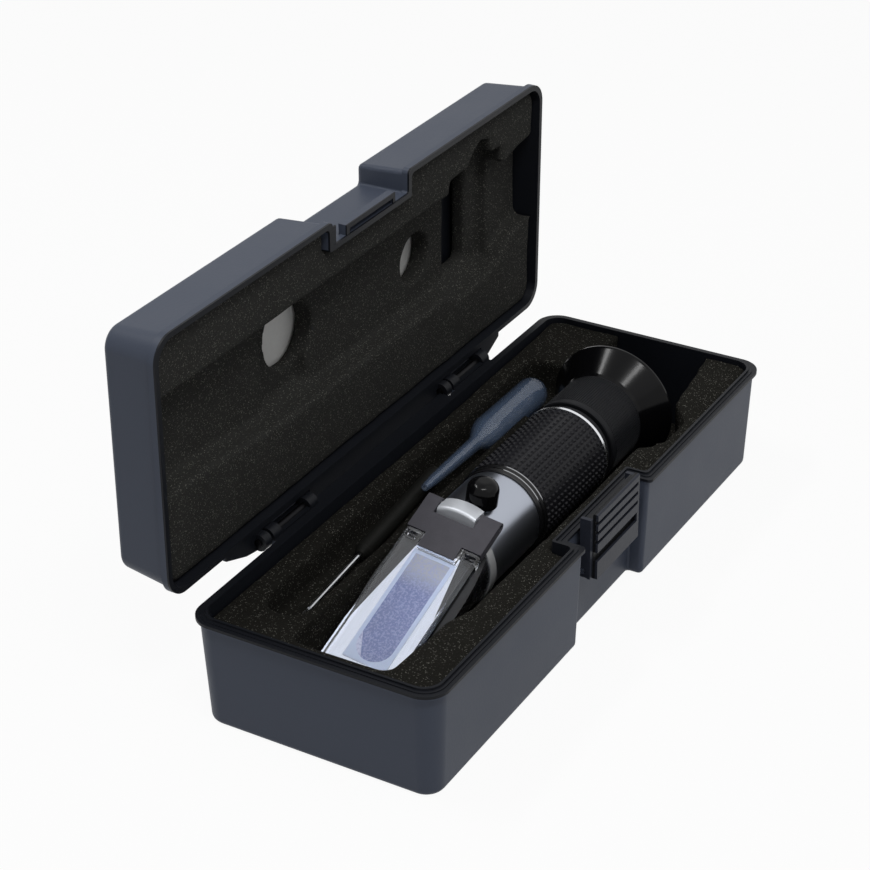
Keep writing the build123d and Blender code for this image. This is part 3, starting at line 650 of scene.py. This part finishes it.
bead_finish, bead_shader, spot = new_finish("beaded_trim", CHROME, 0.12, metallic=1.0)
along = split_place(spot)[0]
bead = ((along - BEADS_X[0]).size() < BEAD_HALF).either((along - BEADS_X[1]).size() < BEAD_HALF)
wear = noise(spot, RING_CLOUDS, detail=3)
spot.feed(bead_shader.inputs["Base Color"], blend(bead, BEAD_BLACK, BEAD_BRIGHT))
spot.feed(bead_shader.inputs["Metallic"], bead)
spot.feed(bead_shader.inputs["Roughness"], 0.3 - 0.22 * bead + 0.05 * wear)
dress_nodes(bead_finish, "grip_front_ring")

# Barrel and hinge lug
# A satin metal tube with fine turning marks, and the rounded lug that is fixed on top of
# it. A bright steel pin goes through the lug and carries the flap.
BARREL_METAL = tone(168, 173, 184)
TURNING_MARKS = (1600, 60, 60)
LUG_METAL = tone(214, 218, 224)
LUG_EDGE = 0.00025

barrel_finish, barrel_shader, spot = new_finish("barrel_metal", BARREL_METAL, 0.3, metallic=1.0)
spot.feed(barrel_shader.inputs["Roughness"], 0.28 + 0.04 * drawn_out(spot, TURNING_MARKS, scale=1))
dress_nodes(barrel_finish, "barrel_tube")

lug = softened("hinge_lug", "hinge_lug_milled", LUG_EDGE)
lug_finish, lug_shader, spot = new_finish("lug_metal", LUG_METAL, 0.5, metallic=0.4)
spot.feed(lug_shader.inputs["Roughness"], 0.42 + 0.1 * noise(spot, scale=600, detail=3))
dress(lug, lug_finish)
take_place(lug, "instrument", "barrel_metal", "hinge_lug")
dress_nodes(steel_finish, "flap_pin")

# Flap block
# The dark T-shaped block, moulded in matt charcoal plastic, that holds the clear flap's
# ears and turns on the pin.
BLOCK_COLOUR = tone(74, 73, 79)
BLOCK_DARK = tone(68, 67, 73)
BLOCK_PALE = tone(80, 79, 85)
BLOCK_PORES = 1800
PORE_DEPTH = 0.00004
BLOCK_EDGE = 0.0003

block_finish, block_shader, spot = new_finish("block_plastic", BLOCK_COLOUR, 0.6, gloss=0.2)
pores = noise(spot, BLOCK_PORES, detail=3)
spot.feed(block_shader.inputs["Base Color"], blend(noise(spot, scale=300), BLOCK_DARK, BLOCK_PALE))
bumps(spot, block_shader, pores, PORE_DEPTH)
block = softened("flap_block", "flap_block_moulding", BLOCK_EDGE)
dress(block, block_finish)
take_place(block, "flap", "block_plastic", "flap_block")

# Clear flap
# A slab of clear acrylic with polished bevels, lying on the prism. Each of its ears
# beside the block has a slot.
ACRYLIC = tone(246, 249, 255)
ACRYLIC_BENDING = 1.47
CLEAR_EDGE = 0.0006

clear_finish, clear_shader, spot = new_finish("clear_acrylic", ACRYLIC, 0.02, gloss=0.2)
clear_shader.inputs["Transmission Weight"].default_value = 1.0
clear_shader.inputs["IOR"].default_value = ACRYLIC_BENDING
spot.feed(clear_shader.inputs["Roughness"], 0.006 * noise(spot, scale=60))
flap = softened("daylight_plate", "clear_flap", CLEAR_EDGE, segments=1)
dress(flap, clear_finish)
take_place(flap, "flap", "clear_acrylic", "daylight_plate")

# Calibration screw and cap
# A small slotted brass screw in the barrel's boss, turned to set the scale, under a push-on
# cap that is moulded in glossy black plastic.
BRASS = tone(196, 164, 98)
GLOSS_BLACK = tone(10, 10, 12)

brass_finish, brass_shader, spot = new_finish("brass_part", BRASS, 0.25, metallic=1.0)
spot.feed(brass_shader.inputs["Roughness"], 0.2 + 0.15 * noise(spot, scale=600))
dress_nodes(brass_finish, "calibration_screw")

gloss_finish, gloss_shader, spot = new_finish("gloss_black", GLOSS_BLACK, 0.12, gloss=0.12)
spot.feed(gloss_shader.inputs["Roughness"], 0.14 + 0.06 * noise(spot, scale=200, detail=3))
dress_nodes(gloss_finish, "screw_cap")

# Grip sleeve
# A black rubber sleeve pulled over the barrel, moulded with rows of small square studs
# that taper to flat tops.
AXIS_Y = -0.004
AXIS_Z = 0.028
GRIP_FROM_X = -0.0045
GRIP_TO_X = 0.0319
GRIP_BORE = 0.01295
GRIP_FACE = 0.01375
GRIP_OUTSIDE = GRIP_FACE * 0.99
STUD_ROWS = 17
STUDS_ROUND = 44
STUD_GAP = 0.00038
STUD_TAPER = 0.0003
STUD_HEIGHT = 0.00043
STUD_ANGLE = radians(20)
RUBBER = tone(36, 36, 40)
RUBBER_LOW = tone(22, 22, 25)
RUBBER_GRAIN = 2200
RUBBER_HEIGHT = 0.00004


def turned_piece(name, outline, sides):
    """A ring about the instrument's axis: a circle pulled and scaled along (x, radius) points."""
    bpy.ops.object.select_all(action="DESELECT")
    start_x, start_radius = outline[0]
    bpy.ops.mesh.primitive_circle_add(
        vertices=sides, radius=start_radius, location=(start_x, AXIS_Y, AXIS_Z), rotation=(0, pi / 2, 0))
    piece = bpy.context.object
    piece.name = name
    bpy.ops.object.transform_apply(location=True, rotation=True, scale=True)
    bpy.ops.object.mode_set(mode="EDIT")
    bpy.ops.mesh.select_mode(type="EDGE")
    for (x0, radius0), (x1, radius1) in zip(outline, outline[1:]):
        bpy.ops.mesh.extrude_region_move(TRANSFORM_OT_translate={"value": (x1 - x0, 0, 0)})
        growth = radius1 / radius0
        bpy.ops.transform.resize(value=(1, growth, growth), center_override=(x1, AXIS_Y, AXIS_Z))
    bpy.ops.mesh.select_all(action="DESELECT")
    bpy.ops.mesh.select_non_manifold()
    bpy.ops.mesh.bridge_edge_loops()
    bpy.ops.mesh.select_all(action="SELECT")
    bpy.ops.mesh.normals_make_consistent(inside=False)
    bpy.ops.object.mode_set(mode="OBJECT")
    return piece


def pick_faces(piece, wanted):
    """Selects the faces whose middle passes the test, and stays in edit mode."""
    bpy.ops.object.mode_set(mode="EDIT")
    bpy.ops.mesh.select_mode(type="FACE")
    bpy.ops.mesh.select_all(action="DESELECT")
    bpy.ops.object.mode_set(mode="OBJECT")
    for face in piece.data.polygons:
        face.select = wanted(face.center)
    bpy.ops.object.mode_set(mode="EDIT")


def from_axis(point):
    """How far a point lies from the instrument's axis."""
    return hypot(point.y - AXIS_Y, point.z - AXIS_Z)


row = (GRIP_TO_X - GRIP_FROM_X) / STUD_ROWS
grip_outline = [(GRIP_FROM_X + row * step, GRIP_FACE) for step in range(STUD_ROWS + 1)]
grip_outline += [(GRIP_TO_X, GRIP_BORE), (GRIP_FROM_X, GRIP_BORE)]
grip = turned_piece("grip_studded", grip_outline, STUDS_ROUND)
pick_faces(grip, lambda middle: from_axis(middle) > GRIP_OUTSIDE)
bpy.ops.mesh.inset(thickness=STUD_GAP, use_individual=True)
bpy.ops.mesh.inset(thickness=STUD_TAPER, depth=STUD_HEIGHT, use_individual=True)
bpy.ops.object.mode_set(mode="OBJECT")
bpy.ops.object.shade_smooth_by_angle(angle=STUD_ANGLE)
rubber_finish, rubber_shader, spot = new_finish("grip_rubber", RUBBER, 0.55, gloss=0.12)
spot.feed(rubber_shader.inputs["Roughness"], 0.3 + 0.1 * noise(spot, scale=900))
spot.feed(rubber_shader.inputs["Base Color"], blend(noise(spot, scale=500, detail=3), RUBBER_LOW, RUBBER))
bumps(spot, rubber_shader, noise(spot, RUBBER_GRAIN, detail=3), RUBBER_HEIGHT)
dress(grip, rubber_finish)
take_place(grip, "instrument", "grip_rubber", "grip_sleeve")

# Neck
# A satin black plastic tube, fixed in the barrel behind the grip. The focusing ring turns on
# it, over a rubber ring in its groove.
BLACKENED = tone(22, 23, 26)

black_finish, black_shader, spot = new_finish("black_plastic", BLACKENED, 0.5, gloss=0.12)
spot.feed(black_shader.inputs["Roughness"], 0.4 + 0.2 * noise(spot, scale=400, detail=3))
dress_nodes(black_finish, "neck_tube")
dress_nodes(rubber_finish, "neck_seal")

# Inner optics
# Blackened holders and glass inside the tube: the objective, the scale disc, and the sliding
# eyepiece with its ring. A two-metal strip on two screws carries the temperature correction.
LENS_TINT = tone(240, 246, 248)
LENS_BENDING = 1.52

dress_nodes(black_finish, "objective_cell", "reticle_holder", "eyepiece_cell", "lens_ring")
dress_nodes(brass_finish, "compensation_strip")
dress_nodes(steel_finish, "strip_screws")

glass_finish, glass_shader, spot = new_finish("lens_glass", LENS_TINT, 0.01)
glass_shader.inputs["Transmission Weight"].default_value = 1.0
glass_shader.inputs["IOR"].default_value = LENS_BENDING
spot.feed(glass_shader.inputs["Roughness"], 0.005 + 0.01 * noise(spot, scale=150))
dress_nodes(glass_finish, "objective_lens", "reticle_disc", "eyepiece_lens")

# Focusing ring
# The black ring that is turned to focus, moulded with fine ribs along its length between
# two plain edges. It ends in a spigot for the eyecup.
RING_BORE = 0.0117
RING_FACE = 0.01376
RING_OUTSIDE = RING_FACE * 0.99
RING_OUTLINE = [
    (0.0372, RING_BORE), (0.0372, 0.0137), (0.0375, 0.0140), (0.0394, 0.0140), (0.0396, RING_FACE),
    (0.0556, RING_FACE), (0.0558, 0.0140), (0.0560, 0.0140), (0.0560, 0.0120), (0.0580, 0.0120),
    (0.0580, 0.0106), (0.0500, 0.0106), (0.0500, RING_BORE),
]
RIBS = 116
RIB_BAND_X = (0.045, 0.05)
RIB_TAPER = 0.00007
RIB_RISE = 0.00024
RIB_ANGLE = radians(25)


def on_rib(middle):
    """Every second face of the ring's long band."""
    step = floor(atan2(middle.z - AXIS_Z, middle.y - AXIS_Y) / (pi / RIBS))
    on_band = RIB_BAND_X[0] < middle.x < RIB_BAND_X[1] and from_axis(middle) > RING_OUTSIDE
    return on_band and step % 2 == 0


ring = turned_piece("focus_ring_ribbed", RING_OUTLINE, RIBS * 2)
pick_faces(ring, on_rib)
bpy.ops.mesh.inset(thickness=RIB_TAPER, depth=RIB_RISE, use_individual=True)
bpy.ops.object.mode_set(mode="OBJECT")
bpy.ops.object.shade_smooth_by_angle(angle=RIB_ANGLE)
dress(ring, black_finish)
take_place(ring, "focus_ring", "black_plastic", "focus_ring")

# Eyecup
# The flared cup for the eye, moulded in the same glossy black plastic as the screw's cap. It
# is pressed over the focusing ring's spigot.
dress_nodes(gloss_finish, "eyecup")

# Pipette
# A squeezable pipette, blown in one piece from thin, bluish clear plastic. It lies loose in
# the tool slot of the foam.
PIPETTE_TINT = tone(112, 132, 162)
PIPETTE_COVER = 0.33

pipette_finish, pipette_shader, spot = new_finish("pipette_plastic", PIPETTE_TINT, 0.15, gloss=1.0)
pipette_shader.inputs["Alpha"].default_value = PIPETTE_COVER
spot.feed(pipette_shader.inputs["Roughness"], 0.08 + 0.06 * noise(spot, scale=120, detail=3))
dress_nodes(pipette_finish, "pipette")

# Screwdriver
# A small steel blade with a flattened tip, moulded into a dark round handle of matt
# plastic. It lies in the tool slot too.
HANDLE = tone(24, 24, 22)

handle_finish, handle_shader, spot = new_finish("handle_plastic", HANDLE, 0.6, gloss=0.1)
spot.feed(handle_shader.inputs["Roughness"], 0.5 + 0.15 * noise(spot, scale=400))
dress_nodes(handle_finish, "driver_handle")
dress_nodes(steel_finish, "driver_blade")
